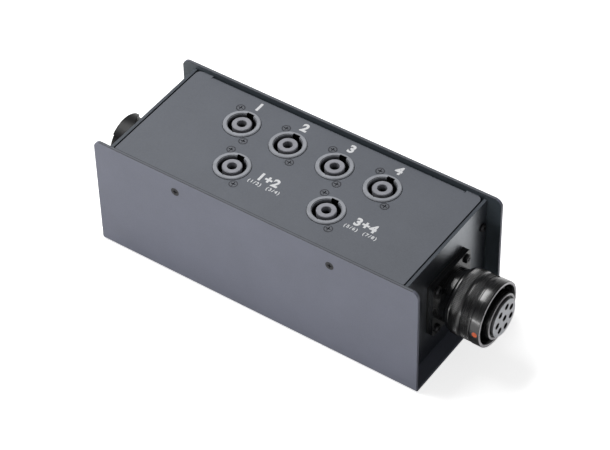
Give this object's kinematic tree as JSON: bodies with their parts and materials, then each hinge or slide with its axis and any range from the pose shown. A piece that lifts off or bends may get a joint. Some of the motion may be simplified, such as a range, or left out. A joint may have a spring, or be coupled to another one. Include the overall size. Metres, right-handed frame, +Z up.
{
  "type": "portable breakout box",
  "caption": "Long folded-sheet box with round twist-lock sockets on top, a multipin connector with a turning coupling ring at one end and a pin receptacle at the other.",
  "frame": {"origin": "middle of the underside of the box", "axes": "+X along the box towards the connector with the coupling ring, +Y to the back, +Z up"},
  "size_m": [0.2805, 0.093, 0.084],
  "materials": {
    "enclosure_paint": "fine-textured powder coat, mid grey",
    "plate_paint": "semi-gloss dark grey paint",
    "zinc_steel": "zinc plated",
    "black_steel": "blackened steel",
    "socket_grey": "moulded light grey plastic",
    "socket_post": "moulded light grey plastic",
    "contact_metal": "plated contact metal",
    "gasket_rubber": "black rubber",
    "black_anodised": "black anodised, glossy",
    "spring_steel": "bare steel",
    "position_mark": "orange paint dot",
    "insert_grey": "light grey moulded insert",
    "loom_lead": "insulated copper lead",
    "branch_lead": "insulated copper lead",
    "nylon": "natural nylon"
  },
  "bodies": {
    "box": {"bracket_left_back": "zinc_steel", "bracket_left_front": "zinc_steel", "bracket_press_nuts": "zinc_steel", "bracket_right_back": "zinc_steel", "bracket_right_front": "zinc_steel", "coupling_snap_ring": "spring_steel", "coupling_wave_spring": "spring_steel", "cover_clinch_nuts": "zinc_steel", "cover_screws": "black_steel", "end_plate_left": "plate_paint", "end_plate_right": "plate_paint", "end_plate_screws": "black_steel", "loom_ties": "nylon", "outer_shell": "enclosure_paint", "receptacle_gasket": "gasket_rubber", "receptacle_insert": "insert_grey", "receptacle_insert_nut": "black_anodised", "receptacle_nuts": "zinc_steel", "receptacle_pins": "contact_metal", "receptacle_screws": "black_steel", "receptacle_shell": "black_anodised", "ring_connector_contacts": "contact_metal", "ring_connector_gasket": "gasket_rubber", "ring_connector_insert": "insert_grey", "ring_connector_insert_nut": "black_anodised", "ring_connector_nuts": "zinc_steel", "ring_connector_screws": "black_steel", "ring_connector_shell": "black_anodised", "socket_1_contacts": "contact_metal", "socket_1_housing": "socket_grey", "socket_1_insert": "socket_post", "socket_2_contacts": "contact_metal", "socket_2_housing": "socket_grey", "socket_2_insert": "socket_post", "socket_3_contacts": "contact_metal", "socket_3_housing": "socket_grey", "socket_3_insert": "socket_post", "socket_4_contacts": "contact_metal", "socket_4_housing": "socket_grey", "socket_4_insert": "socket_post", "socket_5_contacts": "contact_metal", "socket_5_housing": "socket_grey", "socket_5_insert": "socket_post", "socket_6_contacts": "contact_metal", "socket_6_housing": "socket_grey", "socket_6_insert": "socket_post", "socket_leads_1": "branch_lead", "socket_leads_2": "branch_lead", "socket_leads_3": "branch_lead", "socket_leads_4": "branch_lead", "socket_leads_5": "branch_lead", "socket_leads_6": "branch_lead", "socket_nuts": "zinc_steel", "socket_screws": "black_steel", "through_loom": "loom_lead", "top_panel": "enclosure_paint"},
    "ring": {"coupling_ring": "black_anodised", "coupling_pins": "spring_steel", "ring_position_dot": "position_mark"}
  },
  "joints": [
    {"name": "coupling_ring_turn", "type": "hinge", "parent": "box", "child": "ring", "pos_m": [0.1317, 0, 0.042], "axis": [1, 0, 0], "continuous": true}
  ]
}
